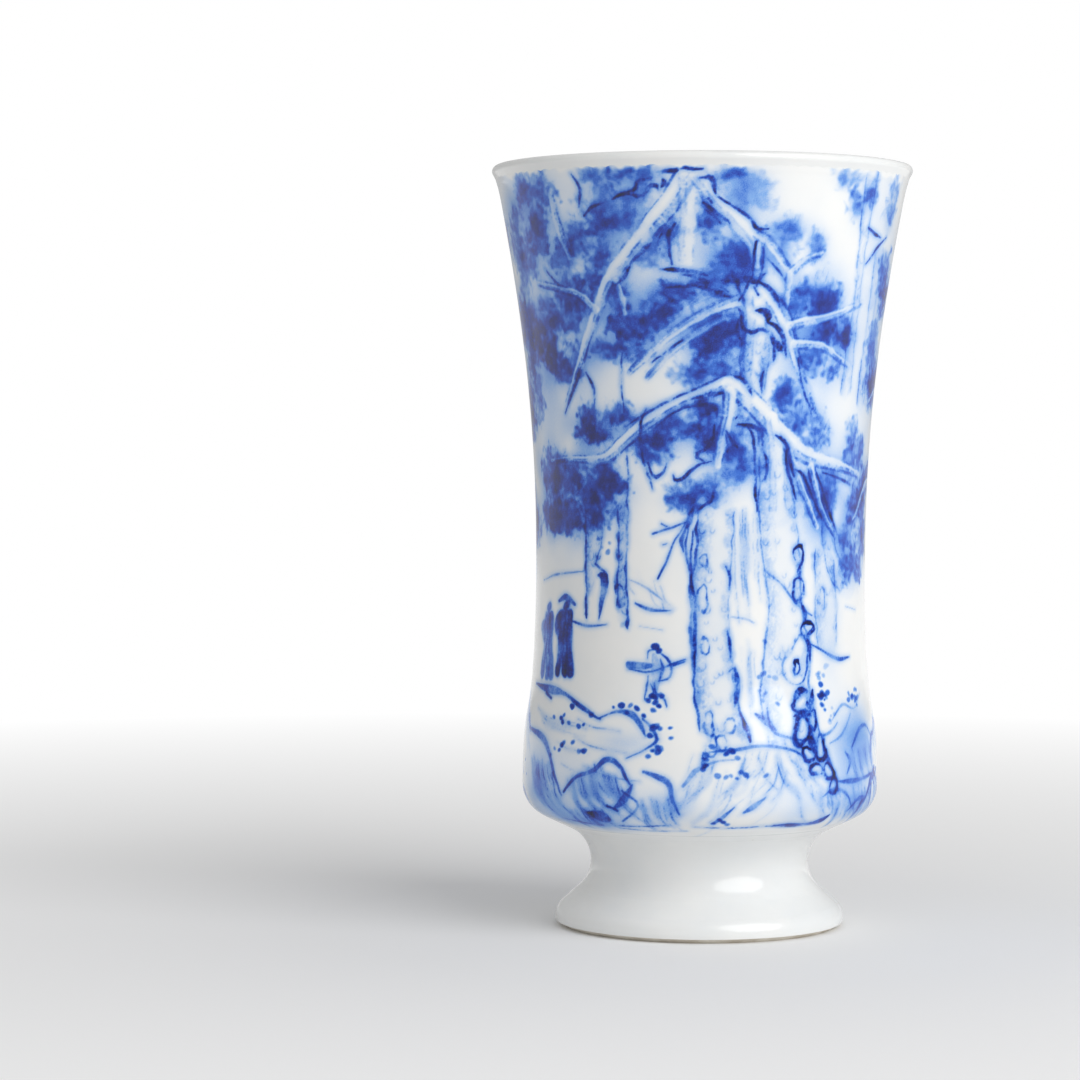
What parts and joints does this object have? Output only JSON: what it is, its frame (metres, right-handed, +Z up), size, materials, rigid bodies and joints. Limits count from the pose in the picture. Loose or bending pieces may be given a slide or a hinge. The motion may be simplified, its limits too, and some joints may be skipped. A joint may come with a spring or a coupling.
{
  "type": "teacup",
  "caption": "Tall porcelain teacup, waisted and flared to a small bead lip, on a spreading hollow foot, glazed inside and out over a blue pine landscape",
  "frame": {"origin": "centre of the level ring that the cup stands on", "axes": "+Z up the axis that the cup is turned round; +Y from the painted front, which faces -Y, to the back; +X to the right of the front"},
  "size_m": [0.066, 0.066, 0.1194],
  "materials": {
    "porcelain_body": "fired white porcelain under the glaze",
    "foot_biscuit": "fired porcelain, left bare and matte on the resting ring",
    "luting_slip": "fired slip, matte",
    "outer_glaze": "clear gloss glaze over white body and blue painting",
    "inner_glaze": "clear gloss glaze over white body",
    "base_glaze": "clear gloss glaze, a little cooler where it pools",
    "cobalt_wash": "watered cobalt under gloss glaze"
  },
  "bodies": {
    "root": {"cup_bowl": "porcelain_body", "pedestal_foot": "foot_biscuit", "slip_joint": "luting_slip", "outer_glaze": "outer_glaze", "inner_glaze": "inner_glaze", "base_glaze": "base_glaze"}
  },
  "joints": []
}
